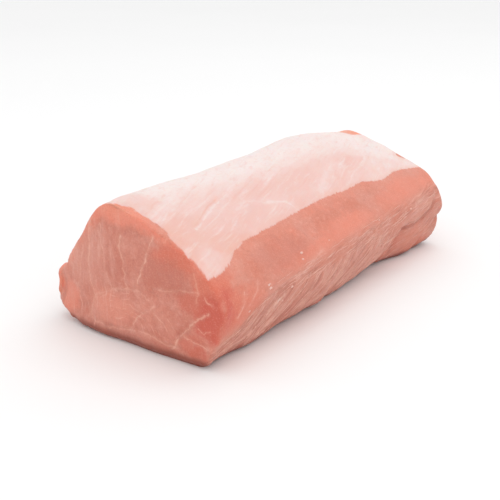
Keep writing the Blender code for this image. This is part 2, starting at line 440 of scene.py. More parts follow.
class Field:
    """A number that a node puts out and that changes over the surface. Sums add Math nodes."""

    def __init__(self, wiring, socket):
        self.wiring = wiring
        self.socket = socket

    def maths(self, operation, *others):
        return self.wiring.maths(operation, self, *others)

    def __add__(self, other):
        return self.maths("ADD", other)

    def __sub__(self, other):
        return self.maths("SUBTRACT", other)

    def __rsub__(self, other):
        return self.wiring.maths("SUBTRACT", other, self)

    def __mul__(self, other):
        return self.maths("MULTIPLY", other)

    def __truediv__(self, other):
        return self.maths("DIVIDE", other)

    __radd__ = __add__
    __rmul__ = __mul__

    def lower(self, other):
        return self.maths("MINIMUM", other)

    def higher(self, other):
        return self.maths("MAXIMUM", other)

    def size(self):
        return self.maths("ABSOLUTE")

    def bell(self):
        """1 where the number is 0, falling to 0 on both sides."""
        return self.wiring.maths("EXPONENT", self * self * -1.0)

    def rise(self, low, high):
        """0 below low and 1 above high, eased between them. It falls if low is the greater."""
        if low > high:
            return 1.0 - self.rise(high, low)
        inputs = {"Value": self, "From Min": low, "From Max": high}
        node = self.wiring.node("ShaderNodeMapRange", inputs, interpolation_type="SMOOTHSTEP")
        return Field(self.wiring, node.outputs["Result"])


class Wiring:
    """Adds nodes to a shader or geometry tree and joins them up as they are made."""

    NODES_IN_COLUMN = 8
    NODE_WIDTH = 220
    NODE_HEIGHT = 200
    GROUP_NODES = {"ShaderNodeTree": "ShaderNodeGroup", "GeometryNodeTree": "GeometryNodeGroup"}

    def __init__(self, tree):
        self.tree = tree

    def node(self, kind, inputs=None, **settings):
        column, row = divmod(len(self.tree.nodes), self.NODES_IN_COLUMN)
        made = self.tree.nodes.new(kind)
        made.location = (self.NODE_WIDTH * column, -self.NODE_HEIGHT * row)
        for name, value in settings.items():
            setattr(made, name, value)
        for key, value in (inputs or {}).items():
            self.feed(made.inputs[key], value)
        return made

    def feed(self, socket, value):
        if isinstance(value, Field):
            value = value.socket
        if isinstance(value, bpy.types.NodeSocket):
            self.tree.links.new(value, socket)
        else:
            socket.default_value = value

    def maths(self, operation, *values):
        node = self.node("ShaderNodeMath", dict(enumerate(values)), operation=operation)
        return Field(self, node.outputs[0])

    def vector(self, x, y, z):
        return self.node("ShaderNodeCombineXYZ", {"X": x, "Y": y, "Z": z}).outputs[0]

    def parts(self, vector):
        node = self.node("ShaderNodeSeparateXYZ", {0: vector})
        return [Field(self, socket) for socket in node.outputs]

    def vector_maths(self, operation, *values):
        node = self.node("ShaderNodeVectorMath", dict(enumerate(values)), operation=operation)
        return node.outputs["Vector"]

    def length(self, vector):
        node = self.node("ShaderNodeVectorMath", {0: vector}, operation="LENGTH")
        return Field(self, node.outputs["Value"])

    def dot(self, first, second):
        node = self.node("ShaderNodeVectorMath", {0: first, 1: second}, operation="DOT_PRODUCT")
        return Field(self, node.outputs["Value"])

    def scaled(self, vector, factor):
        node = self.node("ShaderNodeVectorMath", {0: vector, "Scale": factor}, operation="SCALE")
        return node.outputs["Vector"]

    def noise(self, place, size, detail=2.0, roughness=0.5):
        """Soft noise from 0 to 1 whose blotches are about that size in the units of place."""
        inputs = {"Vector": place, "Scale": 1 / size, "Detail": detail, "Roughness": roughness}
        return Field(self, self.node("ShaderNodeTexNoise", inputs).outputs[0])

    def waves(self, place, size, detail=2.0, roughness=0.5):
        """Soft noise round 0, by at most a half each way."""
        return self.noise(place, size, detail, roughness) - 0.5

    def wander(self, place, size, reach):
        """A place moved about by soft noise, at most by half of reach each way."""
        inputs = {"Vector": place, "Scale": 1 / size, "Detail": 2.0}
        colour = self.node("ShaderNodeTexNoise", inputs).outputs["Color"]
        centred = self.vector_maths("SUBTRACT", colour, (0.5, 0.5, 0.5))
        return self.vector_maths("ADD", place, self.scaled(centred, reach))

    def curve(self, value, profile):
        """Reads a profile that runs along the joint or across it."""
        node = self.node("ShaderNodeFloatCurve")
        handles = node.mapping.curves[0].points
        length, height = 2 * HALF_LENGTH, profile.high - profile.low
        placed = [((x + HALF_LENGTH) / length, (y - profile.low) / height) for x, y in profile.points]
        handles[0].location = placed[0]
        handles[1].location = placed[-1]
        for place in placed[1:-1]:
            handles.new(*place)
        node.mapping.update()
        self.feed(node.inputs["Value"], (value + HALF_LENGTH) / length)
        return Field(self, node.outputs[0]) * height + profile.low

    def blend(self, share, first, second):
        """A colour between two."""
        node = self.node("ShaderNodeMix", data_type="RGBA")
        self.feed(node.inputs["Factor"], share)
        self.feed(node.inputs[6], first)
        self.feed(node.inputs[7], second)
        return node.outputs[2]


SOCKETS = {"value": "NodeSocketFloat", "place": "NodeSocketVector", "colour": "NodeSocketColor"}


def node_group(result, **kinds):
    """Turns a function that wires nodes into one that adds them as a group, made at its first use.
    Result and kinds say what the group puts out and takes in, and the label shows on its node."""

    def fill(tree, build):
        for name, kind in kinds.items():
            tree.interface.new_socket(name, in_out="INPUT", socket_type=SOCKETS[kind])
        tree.interface.new_socket(result, in_out="OUTPUT", socket_type=SOCKETS[result])
        wiring = Wiring(tree)
        given = wiring.node("NodeGroupInput").outputs
        values = [Field(wiring, given[n]) if k == "value" else given[n] for n, k in kinds.items()]
        wiring.node("NodeGroupOutput", {0: build(wiring, *values)})

    def wrap(build):
        def add(wiring, *values, label=""):
            kind = wiring.tree.bl_idname
            name = f"{build.__name__}_{kind}"
            tree = bpy.data.node_groups.get(name)
            if tree is None:
                tree = bpy.data.node_groups.new(name, kind)
                fill(tree, build)
            inputs = dict(zip(kinds, values))
            node = wiring.node(wiring.GROUP_NODES[kind], inputs, node_tree=tree, label=label)
            return Field(wiring, node.outputs[0]) if result == "value" else node.outputs[0]

        return add

    return wrap


@node_group("value", place="place", start="place", line="place", farthest="value")
def line_distance(wiring, place, start, line, farthest):
    """Distance in mm from a place to a straight line from start, or farthest if that is less."""
    off = wiring.vector_maths("SUBTRACT", place, start)
    share = (wiring.dot(off, line) / wiring.dot(line, line)).higher(0.0).lower(1.0)
    left = wiring.vector_maths("SUBTRACT", off, wiring.scaled(line, share))
    return wiring.length(left).lower(farthest)


def route_distance(wiring, place, points):
    """Distance in mm from a place to the nearest part of a route through points."""
    nearest = FAR_AWAY
    for start, end in zip(points, points[1:]):
        line = (end[0] - start[0], end[1] - start[1], 0.0)
        nearest = line_distance(wiring, place, (*start, 0.0), line, nearest)
    return nearest


@node_group("value", place="place", centre="place", reach="place")
def remoteness(wiring, place, centre, reach):
    """0 at a centre, and 1 at its reach along each axis."""
    off = wiring.vector_maths("SUBTRACT", place, centre)
    return wiring.length(wiring.vector_maths("DIVIDE", off, reach))


@node_group("value", place="place")
def fat_inside(wiring, place):
    """How far in mm a place lies inside the edge of the fat cover."""
    x, y, z = wiring.parts(place)
    turn = wiring.maths("ARCTAN2", CORE_Y - y, z - CORE_Z) * math.degrees(1)
    flank = wiring.curve(x, FAT_EDGE) - turn
    rib = turn - wiring.curve(x, RIB_FAT_EDGE)
    from_ends = (wiring.curve(y, FAT_END) - x).lower(x - wiring.curve(y, FAT_START))
    along = from_ends + wiring.waves(wiring.vector(0.0, y, 0.0), FAT_END_WAVES[0]) * FAT_END_WAVES[1]
    return (flank.lower(rib) * (math.radians(1) * ARM)).lower(along)


@node_group("value", place="place")
def fibre_share(wiring, place):
    """1 where the silvery fibres of the long flank show, and 0 where none do."""
    x, y, z = wiring.parts(place)
    bare = remoteness(wiring, place, BARE_PLACE, BARE_REACH).rise(1.2, 0.7) * BARE_SHARE
    sides = y.rise(*LONG_FLANK) + y.rise(*RIB_SIDE) * RIB_FIBRES
    return (wiring.curve(x, FIBRE_LIMIT) - z).rise(-3.0, 5.0) * sides * (1.0 - bare)


@node_group("value", place="place")
def fibre_lean(wiring, place):
    """How far along the joint the low fibres run for each mm that they climb."""
    x = wiring.parts(place)[0]
    return x.rise(-90.0, -122.0) * FRONT_LEAN + x.rise(50.0, 95.0) * FAR_LEAN + FIBRE_LEAN


@node_group("place", place="place", width="value", length="value")
def low_fibres(wiring, place, width, length):
    """Places stretched along the low fibres of the flank, which are about that wide and long, and
    lean by about 45 degrees."""
    moved = wiring.wander(place, *FIBRE_BEND)
    x, y, z = wiring.parts(moved)
    across = x - z * fibre_lean(wiring, moved)
    return wiring.vector(across * 0.7 / width, z * 1.4 / length, y / length)


@node_group("place", place="place", width="value", length="value")
def high_fibres(wiring, place, width, length):
    """Places stretched along the high fibres of the flank, which are about that wide and long."""
    x, y, z = wiring.parts(wiring.wander(place, *FIBRE_BEND))
    return wiring.vector((z - x * (1 / HIGH_LEAN)) / width, x / length, y / length)


def fibre_noise(wiring, place, width, length, detail=2.0, roughness=0.5):
    """Soft noise from 0 to 1 that is stretched along the fibres of the flank."""
    low = wiring.noise(low_fibres(wiring, place, width, length), 1.0, detail, roughness)
    high = wiring.noise(high_fibres(wiring, place, width, length), 1.0, detail, roughness)
    share = wiring.parts(wiring.wander(place, 14.0, 8.0))[2].rise(HIGH_FROM, HIGH_TO)
    return low + (high - low) * share


@node_group("place", place="place", width="value", length="value")
def fat_place(wiring, place, width, length):
    """Places stretched along the streaks in the fat, which are about that wide and long."""
    x, y, z = wiring.parts(wiring.wander(place, 60.0, 10.0))
    run = x * math.cos(FAT_STREAK_TURN) + y * math.sin(FAT_STREAK_TURN)
    across = y * math.cos(FAT_STREAK_TURN) - x * math.sin(FAT_STREAK_TURN) + z * 0.5
    return wiring.vector(run / length, across / width, 0.0)


@node_group("place", place="place")
def seen_from_above(wiring, place):
    """Places on the fat as (x, y, 0), moved about a little."""
    x, y = wiring.parts(wiring.wander(place, 9.0, 3.0))[:2]
    return wiring.vector(x, y, 0.0)


@node_group("place", place="place")
def cut_place(wiring, place):
    """Places on a cut as (y, z, 0), moved about a little so that lines on it aren't straight."""
    y, z = wiring.parts(wiring.wander(wiring.wander(place, 9.0, 4.0), 3.0, 1.8))[1:]
    return wiring.vector(y, z, 0.0)


@node_group("value", height="value", place="place", centre="place", reach="place", rise="value")
def swell(wiring, height, place, centre, reach, rise):
    """A height with a swelling added."""
    return height + remoteness(wiring, place, centre, reach).bell() * rise


@node_group("value", height="value", place="place", centre="place", reach="place", rise="value")
def raise_ledge(wiring, height, place, centre, reach, rise):
    """A height with a flat-topped swelling added."""
    return height + remoteness(wiring, place, centre, reach).rise(1.1, 0.88) * rise


@node_group("value", height="value", distance="value", width="value", depth="value")
def carve(wiring, height, distance, width, depth):
    """A height with a groove taken out."""
    return height - (distance / width).bell() * depth


def uneven_height(wiring, place):
    """Height over the floor in mm, with a wavy zero."""
    return wiring.parts(place)[2] + wiring.waves(place, FLOOR_WAVES[0], 3.0) * FLOOR_WAVES[1]


def swollen(wiring, height, place, bumps, unit, add):
    """A height with bumps added, either by swell or by raise_ledge."""
    for bump in bumps:
        rise = unit * bump.height
        height = add(wiring, height, place, bump.place, bump.reach, rise, label=bump.name)
    return height


def carved(wiring, height, place, lines, border, depth):
    """A height with the groove of each line taken out. Place is flat and lies as the lines do."""
    for line in lines:
        distance = route_distance(wiring, place, line.points)
        width = line.width + border
        height = carve(wiring, height, distance, width, depth * line.groove, label=line.name)
    return height


class Relief(NamedTuple):
    """What the relief needs to know about a place on the skin."""

    place: object
    cut: Field
    skin: Field
    fat: Field


def fibre_relief(wiring, at, depth):
    """Height of the ridges of fibre."""
    fibres = fibre_noise(wiring, at.place, *FIBRE_SIZE) - 0.5
    bundles = fibre_noise(wiring, at.place, *BUNDLE_SIZE) - 0.5
    share = at.skin * at.fat.rise(0.5, -3.0) * (fibre_share(wiring, at.place) * 0.75 + 0.25)
    return (fibres * 1.2 + bundles * 1.6) * share * depth


def seam_relief(wiring, at, height, depth):
    """A height with the grooves between muscles taken out."""
    front = at.cut * wiring.parts(at.place)[0].rise(*FRONT_PART) * depth
    return carved(wiring, height, cut_place(wiring, at.place), SEAMS, SEAM_BORDER, front)


def fold_relief(wiring, at, height, depth):
    """A height with a lip above each fold's line, a groove below it and one at each shade."""
    x, y, z = wiring.parts(wiring.wander(at.place, 9.0, 2.5))
    flat = wiring.vector(x, z, 0.0)
    share = at.skin * y.rise(-30.0, -42.0) * depth
    for fold in FOLDS:
        aside = fold.width * FOLD_ASIDE
        raised = [(px - aside, pz + aside) for px, pz in fold.points]
        lowered = [(px + aside, pz - aside) for px, pz in fold.points]
        lip = route_distance(wiring, flat, raised)
        groove = route_distance(wiring, flat, lowered)
        lift = share * (fold.depth * -LIP_SHARE)
        height = carve(wiring, height, lip, fold.width, lift, label=fold.name)
        width = fold.width * GROOVE_SHARE
        height = carve(wiring, height, groove, width, share * fold.depth, label=fold.name)
    return carved(wiring, height, flat, SHADES, 0.0, share)


def fat_relief(wiring, at, depth):
    """Height of the fat cover's edge and of its unevenness."""
    swelling = wiring.waves(at.place, 16.0)
    streaks = wiring.waves(fat_place(wiring, at.place, 3.0, 60.0), 1.0)
    uneven = (swelling * 1.6 + streaks * 0.7) * at.fat.rise(0.0, 8.0)
    height = at.fat.rise(-0.8, 2.2) * 0.5 + uneven
    flat = seen_from_above(wiring, at.place)
    inside = at.fat.rise(0.0, 2.0)
    height = carved(wiring, height, flat, FAT_GROOVES + FAT_MARKS, FAT_BORDER, inside)
    return height * at.skin * depth


RELIEF_INPUTS = ("Fibre Depth", "Seam Depth", "Fold Depth", "Fat Depth", "Swelling")


def new_geometry_tree(name, kinds):
    """A geometry tree with named inputs, and its wiring and its input sockets."""
    tree = bpy.data.node_groups.new(name, "GeometryNodeTree")
    tree.interface.new_socket("Geometry", in_out="INPUT", socket_type="NodeSocketGeometry")
    for label, kind in kinds.items():
        tree.interface.new_socket(label, in_out="INPUT", socket_type=kind)
    tree.interface.new_socket("Material", in_out="INPUT", socket_type="NodeSocketMaterial")
    tree.interface.new_socket("Geometry", in_out="OUTPUT", socket_type="NodeSocketGeometry")
    wiring = Wiring(tree)
    return tree, wiring, wiring.node("NodeGroupInput").outputs


def positions(wiring):
    """Where the points of the geometry are, in metres and in mm."""
    position = wiring.node("GeometryNodeInputPosition").outputs[0]
    return position, wiring.scaled(position, 1 / MM)


def moved_to(wiring, geometry, position):
    """Geometry with its points moved to a position in metres."""
    inputs = {"Geometry": geometry, "Position": position}
    return wiring.node("GeometryNodeSetPosition", inputs).outputs[0]


def copied(wiring, points, shape, turn, size):
    """Real copies of a shape at points."""
    inputs = {"Points": points, "Instance": shape, "Rotation": turn, "Scale": size}
    copies = wiring.node("GeometryNodeInstanceOnPoints", inputs)
    return wiring.node("GeometryNodeRealizeInstances", {0: copies.outputs[0]}).outputs[0]


def finish_tree(wiring, geometry, material):
    """Ends a geometry tree with real geometry that has its material."""
    single = wiring.node("GeometryNodeRealizeInstances", {0: geometry})
    finished = wiring.node("GeometryNodeSetMaterial", {"Geometry": single.outputs[0], "Material": material})
    wiring.node("NodeGroupOutput", {"Geometry": finished.outputs[0]})


def relief_tree():
    """Geometry nodes that lift and sink the skin: fibres, seams, folds, lobes and the fat cover."""
    kinds = {name: "NodeSocketFloat" for name in RELIEF_INPUTS}
    tree, wiring, given = new_geometry_tree("loin_relief", kinds)
    size = {name: Field(wiring, given[name]) * (1 / MM) for name in RELIEF_INPUTS}
    position, place = positions(wiring)
    normal = wiring.node("GeometryNodeInputNormal").outputs[0]
    rim_node = wiring.node("GeometryNodeInputNamedAttribute", {"Name": "rim"}, data_type="FLOAT")
    rim = Field(wiring, rim_node.outputs["Attribute"])
    z = wiring.parts(place)[2]
    at = Relief(place, rim.rise(-1.0, 2.5), rim.rise(1.5, -2.5), fat_inside(wiring, place))

    height = fibre_relief(wiring, at, size["Fibre Depth"]) + fat_relief(wiring, at, size["Fat Depth"])
    height = seam_relief(wiring, at, height, size["Seam Depth"])
    height = fold_relief(wiring, at, height, size["Fold Depth"])
    height = swollen(wiring, height, place, SWELLINGS, size["Swelling"], swell)
    height = swollen(wiring, height, place, LEDGES, size["Swelling"], raise_ledge)
    lumps = wiring.waves(place, LUMPS[0]) * at.cut * LUMPS[1]
    grain = wiring.waves(place, GRAIN[0]) * GRAIN[1]
    ragged = wiring.waves(place, RAGGED_SIZE, 3.0) * z.rise(16.0, 5.0) * at.skin * RAGGED_DEPTH
    height = (height + lumps + grain + ragged) * z.rise(0.2, 3.0)

    moved = wiring.vector_maths("ADD", position, wiring.scaled(normal, height * MM))
    level = wiring.vector_maths("MULTIPLY", normal, (1.0, 1.0, 0.0))
    undercut = uneven_height(wiring, place).rise(UNDERCUT_HEIGHT, 0.0) * -UNDERCUT_DEPTH
    sideways = swollen(wiring, undercut, place, SPREADS, size["Swelling"], swell)
    aside = wiring.scaled(level, sideways * MM)
    moved_x, moved_y, moved_z = wiring.parts(wiring.vector_maths("ADD", moved, aside))
    standing = wiring.vector(moved_x, moved_y, moved_z.higher(0.0))
    finish_tree(wiring, moved_to(wiring, given["Geometry"], standing), given["Material"])
    return tree


def run_tree(piece, tree, sizes):
    """Runs a geometry tree on a piece and keeps the result as its plain mesh."""
    modifier = piece.modifiers.new(tree.name, "NODES")
    modifier.node_group = tree
    for item in tree.interface.items_tree:
        if item.in_out == "INPUT" and item.name in sizes:
            modifier[item.identifier] = sizes[item.name]
    keep_evaluated(piece)


def keep_evaluated(piece):
    """Turns a piece's modifiers into its plain mesh."""
    depsgraph = bpy.context.evaluated_depsgraph_get()
    evaluated = piece.evaluated_get(depsgraph)
    mesh = bpy.data.meshes.new_from_object(evaluated, preserve_all_data_layers=True, depsgraph=depsgraph)
    piece.modifiers.clear()
    mesh.name = piece.name
    piece.data = mesh
    mesh.shade_smooth()


def new_piece(name, mesh):
    """An object at the origin with that mesh, linked to the scene."""
    piece = bpy.data.objects.new(name, mesh)
    bpy.context.scene.collection.objects.link(piece)
    return piece


def round_off(piece, levels):
    """Splits and rounds a piece's faces, and keeps its skin passing through its old corners."""
    vertices = piece.data.vertices
    corners = {v.index: v.co.copy() for v in vertices if v.normal.z > STRAIGHT_DOWN}
    rounding = piece.modifiers.new("rounding", "SUBSURF")
    rounding.levels = 1
    for _ in range(ROUNDING_STEPS):
        depsgraph = bpy.context.evaluated_depsgraph_get()
        rounded = piece.evaluated_get(depsgraph).data.vertices
        for i, corner in corners.items():
            shift = corner - rounded[i].co
            if shift.length < LONGEST_SHIFT:
                vertices[i].co += shift
        piece.data.update()
    rounding.levels = levels
    rounding.render_levels = levels
    keep_evaluated(piece)


def closed_copy(node):
    """A copy of a CAD node's mesh as one closed skin, mostly of four-sided faces."""
    shape = bmesh.new()
    shape.from_mesh(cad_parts[node].data)
    bmesh.ops.remove_doubles(shape, verts=shape.verts, dist=MERGE_DISTANCE)
    bmesh.ops.join_triangles(
        shape, faces=shape.faces, angle_face_threshold=FLAT_ENOUGH, angle_shape_threshold=1.0)
    underside = [face for face in shape.faces if max(v.co.z for v in face.verts) < FLOOR_CONTACT]
    underside = bmesh.ops.dissolve_faces(shape, faces=underside)["region"]
    bmesh.ops.inset_region(shape, faces=underside, thickness=UNDERSIDE_BORDER)
    return shape


def rim_places(shape):
    """Places a millimetre apart along the edges of both cuts."""
    places = []
    for edge in shape.edges:
        facing = sorted(abs(face.normal.x) for face in edge.link_faces)
        if facing[0] < RIM_FACING[0] and facing[1] > RIM_FACING[1]:
            start, end = (v.co for v in edge.verts)
            steps = max(1, round(edge.calc_length() / MM))
            places += [start.lerp(end, i / steps) for i in range(steps)]
    return places


def refine(mesh):
    """Splits the faces of the front cut and of the fibrous flank once more."""
    shape = bmesh.new()
    shape.from_mesh(mesh)

    def wants_detail(face):
        middle = face.calc_center_median()
        on_front = face.normal.x < -FRONT_FACING and middle.z > FINE_CUT
        on_flank = face.normal.y < -FLANK_FACING and FINE_FLANK[0] < middle.z < FINE_FLANK[1]
        return on_front or on_flank

    edges = {edge for face in shape.faces if wants_detail(face) for edge in face.edges}
    bmesh.ops.subdivide_edges(shape, edges=list(edges), cuts=1, use_grid_fill=True)
    bmesh.ops.triangulate(shape, faces=[f for f in shape.faces if len(f.verts) > 4])
    shape.to_mesh(mesh)
    shape.free()


def store_rim(mesh, places):
    """Stores each point's distance in mm from the nearest cut's edge: above 0 on the cuts."""
    tree = KDTree(len(places))
    for i, place in enumerate(places):
        tree.insert(place, i)
    tree.balance()
    distances = []
    for vertex in mesh.vertices:
        side = 1 if abs(vertex.normal.x) > CUT_FACING else -1
        distances.append(side * tree.find(vertex.co)[2] / MM)
    mesh.attributes.new("rim", "FLOAT", "POINT").data.foreach_set("value", distances)


def surface_material(name, colour, roughness, subsurface):
    """A material with a Principled BSDF, and its tree's wiring."""
    material = bpy.data.materials.new(name)
    material.use_nodes = True
    material.diffuse_color = colour
    wiring = Wiring(material.node_tree)
    shader = material.node_tree.nodes["Principled BSDF"]
    shader.inputs["Base Color"].default_value = colour
    shader.inputs["Roughness"].default_value = roughness
    shader.inputs["Subsurface Weight"].default_value = subsurface
    shader.inputs["Subsurface Radius"].default_value = GLOW_SHARES
    shader.inputs["Subsurface Scale"].default_value = GLOW_DEPTH
    shader.inputs["IOR"].default_value = SURFACE_IOR
    return material, wiring, shader


@node_group("colour", colour="colour", place="place", patch="colour", centre="place", reach="place",
            strength="value")
def patch_over(wiring, colour, place, patch, centre, reach, strength):
    """A colour with a soft-edged patch of another over it."""
    share = remoteness(wiring, place, centre, reach).rise(*PATCH_FADE) * strength
    return wiring.blend(share, colour, patch)


@node_group("colour", colour="colour", distance="value", width="value", thinning="value", strength="value",
            tissue="colour")
def line_over(wiring, colour, distance, width, thinning, strength, tissue):
    """A colour with a line of white tissue or of painted shade over it, which thins out here and there."""
    core = (distance / width + thinning).rise(1.3, 0.3)
    halo = (distance / (width * HALO_WIDTH)).rise(1.2, 0.1)
    return wiring.blend((core * CORE_SHARE + halo * HALO_SHARE) * strength, colour, tissue)


def patched(wiring, place, colour, patches, colours):
    """A colour with all of some patches over it."""
    for patch in patches:
        other = getattr(colours, patch.colour)
        values = (colour, place, other, patch.place, patch.reach, patch.strength)
        colour = patch_over(wiring, *values, label=patch.name)
    return colour


def lined(wiring, place, colour, lines, share, thinning, tissue):
    """A colour with all of some lines of tissue or of painted shade over it. Place is flat and lies as the
    lines do.
    """
    for line in lines:
        distance = route_distance(wiring, place, line.points)
        values = (colour, distance, line.width, thinning, share * line.strength, tissue)
        colour = line_over(wiring, *values, label=line.name)
    return colour


def lean_colour(wiring, place, cut, rim, inside, colours):
    """Colour of the muscle on the skin and on the cuts, with painted shade where it turns under and painted
    light on the top of the rim.
    """
    z = wiring.parts(place)[2]
    clouds = wiring.noise(place, 24.0, 5.0, 0.6)
    skin = wiring.blend(clouds.rise(0.35, 0.65), colours.side_lean, colours.pale_lean)
    warmth = wiring.noise(place, 15.0, 4.0, 0.6).rise(0.48, 0.72)
    skin = wiring.blend(warmth * 0.5, skin, colours.warm_lean)
    skin = wiring.blend(inside.rise(-13.0, -2.0) * 0.4, skin, colours.peach_lean)
    spots = wiring.noise(place, 12.0, 4.0, 0.6)
    muscle = wiring.blend(spots.rise(0.35, 0.65), colours.cut_lean, colours.pale_lean)
    band = (rim + spots * 6.0).rise(11.0, 4.0) * z.rise(26.0, 50.0)
    muscle = wiring.blend(band * 0.9, muscle, colours.warm_lean)
    lean = wiring.blend(cut, skin, muscle)
    mottle = wiring.noise(place, 2.8, 4.0, 0.65)
    lean = wiring.blend(mottle.rise(0.5, 0.72) * 0.26, lean, colours.fibre)
    lean = wiring.blend(mottle.rise(0.5, 0.28) * (cut * 0.1 + 0.2), lean, colours.gap)
    moved = wiring.wander(wiring.wander(place, 14.0, 12.0), 4.0, 4.5)
    return patched(wiring, moved, lean, LEAN_PATCHES, colours)


def with_fibres(wiring, place, lean, share, colours):
    """Lean colour with the silvery fibres of the flank over it, and painted shade in the gaps between them.
    """
    base = fibre_noise(wiring, place, *SHEEN_SIZE, 3.0, 0.6)
    fibrous = wiring.blend(base.rise(0.35, 0.65), colours.fibre_lean, colours.silver_lean)
    # Painted shade in the gaps between fibres
    gap_shade = fibre_noise(wiring, place, *GAP_SIZE, 2.0, 0.6).rise(0.48, 0.32)
    fibrous = wiring.blend(gap_shade * 0.75, fibrous, colours.gap)
    threads = fibre_noise(wiring, place, *THREAD_SIZE, 3.0, 0.6).rise(0.5, 0.68)
    threads = threads * (1.0 - wiring.parts(place)[0].rise(20.0, 80.0) * 0.4)
    clumps = wiring.noise(place, 11.0, 3.0).rise(0.38, 0.66)
    fibrous = wiring.blend(threads * (clumps * 0.8 + 0.2), fibrous, colours.fibre)
    return wiring.blend(share, lean, fibrous)


def with_wisps(wiring, place, lean, share, colours):
    """Skin colour with painted shade under the folds and wisps of white tissue over it."""
    x, y, z = wiring.parts(wiring.wander(place, 6.0, 2.0))
    broken = wiring.noise(place, 5.0, 3.0, 0.6).rise(0.4, 0.7)
    flank = y.rise(-38.0, -46.0) * share
    flat = wiring.vector(x, z, 0.0)
    # Painted shade under the folds and along the foot of the flank
    lean = lined(wiring, flat, lean, SHADES, flank, broken * 0.5, colours.gap)
    return lined(wiring, flat, lean, WISPS, flank, broken, colours.fibre)


def with_contact(wiring, place, cut, lean, colours):
    """Skin and cut colour with painted shade: darker near the floor, and a dark band of painted contact
    shade along the floor, higher on the cuts.
    """
    height = uneven_height(wiring, place)
    # Painted shade, darker towards the floor
    near = height.rise(12.0, 2.0)
    # Painted contact shade along the floor
    low = (height - cut * 1.3).rise(6.0, 2.0)
    lean = wiring.blend(near * 0.35, lean, colours.gap)
    return wiring.blend(low * 0.9, lean, colours.contact)


def with_ripples(wiring, place, lean, share, colours):
    """Cut colour with curved wrinkles over the small muscle below the eye."""
    y, z = wiring.parts(wiring.wander(place, 12.0, 9.0))[1:]
    round_it = remoteness(wiring, wiring.vector(0.0, y, z), RIPPLE_MIDDLE, RIPPLE_FORM)
    folds = wiring.maths("SINE", round_it * RIPPLE_TURN).rise(0.7, 1.0)
    muscle = remoteness(wiring, place, SMALL_MUSCLE, SMALL_MUSCLE_REACH).rise(1.1, 0.6)
    broken = wiring.noise(place, 5.0, 3.0).rise(0.45, 0.62)
    return wiring.blend(folds * broken * muscle * share * 0.45, lean, colours.seam)


def upright(wiring, y, z, width, length):
    """Places on a cut, stretched along upright streaks that are about that wide and long."""
    return wiring.vector(y * (1 / width), z * (1 / length), 0.0)


def with_streaks(wiring, place, lean, share, colours):
    """Cut colour with upright streaks over it, which are strongest on the left."""
    y, z = wiring.parts(wiring.wander(place, 20.0, 7.0))[1:]
    thin = wiring.noise(upright(wiring, y, z, 1.5, 22.0), 1.0, 3.0, 0.6)
    wide = wiring.noise(upright(wiring, y, z, 5.0, 30.0), 1.0)
    left = y.rise(-12.0, 22.0)
    haze = wide.rise(0.45, 0.75) * left * z.rise(26.0, 38.0) * 0.4
    streaks = thin.rise(0.52, 0.72) * wide.rise(0.35, 0.6) * (left * 0.6 + 0.1)
    return wiring.blend(streaks.higher(haze) * share, lean, colours.fibre)


def with_seams(wiring, place, lean, share, colours):
    """Cut colour with the seams between muscles over it."""
    front = wiring.parts(place)[0].rise(*FRONT_PART) * share
    thinning = wiring.noise(place, 4.0, 4.0, 0.65).rise(0.4, 0.7) * 1.1
    return lined(wiring, cut_place(wiring, place), lean, SEAMS, front, thinning, colours.seam)


def fat_colour(wiring, place, inside, colours):
    """Colour of the fat cover: white at the crest, pinker towards the flank and the front."""
    x, y = wiring.parts(place)[:2]
    clouds = wiring.noise(fat_place(wiring, place, 16.0, 34.0), 1.0, 5.0, 0.62)
    slope = y.rise(14.0, -16.0) * (x.rise(140.0, 20.0) * 0.45 + 0.35) + clouds * 1.1 - 0.55
    colour = wiring.blend(slope.higher(0.0).lower(1.0), colours.white_fat, colours.pink_fat)
    moved = wiring.wander(wiring.wander(place, 26.0, 26.0), 7.0, 8.0)
    colour = patched(wiring, moved, colour, FAT_PATCHES, colours)
    wisps = wiring.noise(fat_place(wiring, place, 5.0, 30.0), 1.0, 5.0, 0.65)
    colour = wiring.blend(wisps.rise(0.5, 0.72) * 0.6, colour, colours.white_fat)
    dabs = wiring.noise(fat_place(wiring, place, 4.0, 9.0), 1.0, 4.0, 0.65)
    colour = wiring.blend(dabs.rise(0.52, 0.7) * 0.4, colour, colours.pink_fat)
    colour = wiring.blend(inside.rise(7.0, 0.0) * 0.3, colour, colours.peach_fat)
    streaks = wiring.noise(fat_place(wiring, place, 1.6, 70.0), 1.0, 2.0, 0.5)
    spread = wiring.noise(place, 20.0).rise(0.4, 0.65)
    colour = wiring.blend(streaks.rise(0.56, 0.74) * spread * 0.35, colour, colours.white_fat)
    colour = wiring.blend(streaks.rise(0.42, 0.28) * spread * 0.3, colour, colours.peach_fat)
    flat = seen_from_above(wiring, place)
    broken = wiring.noise(place, 6.0, 3.0).rise(0.4, 0.75)
    on_fat = inside.rise(0.0, 2.0)
    colour = lined(wiring, flat, colour, FAT_MARKS, on_fat, broken, colours.white_fat)
    colour = lined(wiring, flat, colour, FAT_GROOVES, on_fat, broken, colours.peach_fat)
    mottle = wiring.noise(place, 2.2, 4.0, 0.7).rise(0.45, 0.7)
    return wiring.blend(mottle * 0.16, colour, colours.peach_fat)


def object_place(wiring):
    """Places in mm on a material's piece."""
    return wiring.scaled(wiring.node("ShaderNodeTexCoord").outputs["Object"], 1 / MM)


def feed_bump(wiring, shader, height, strength, distance):
    """Gives a shader a bump of that height, at most a distance in metres."""
    bump = wiring.node("ShaderNodeBump", {"Height": height, "Strength": strength, "Distance": distance})
    wiring.feed(shader.inputs["Normal"], bump.outputs["Normal"])


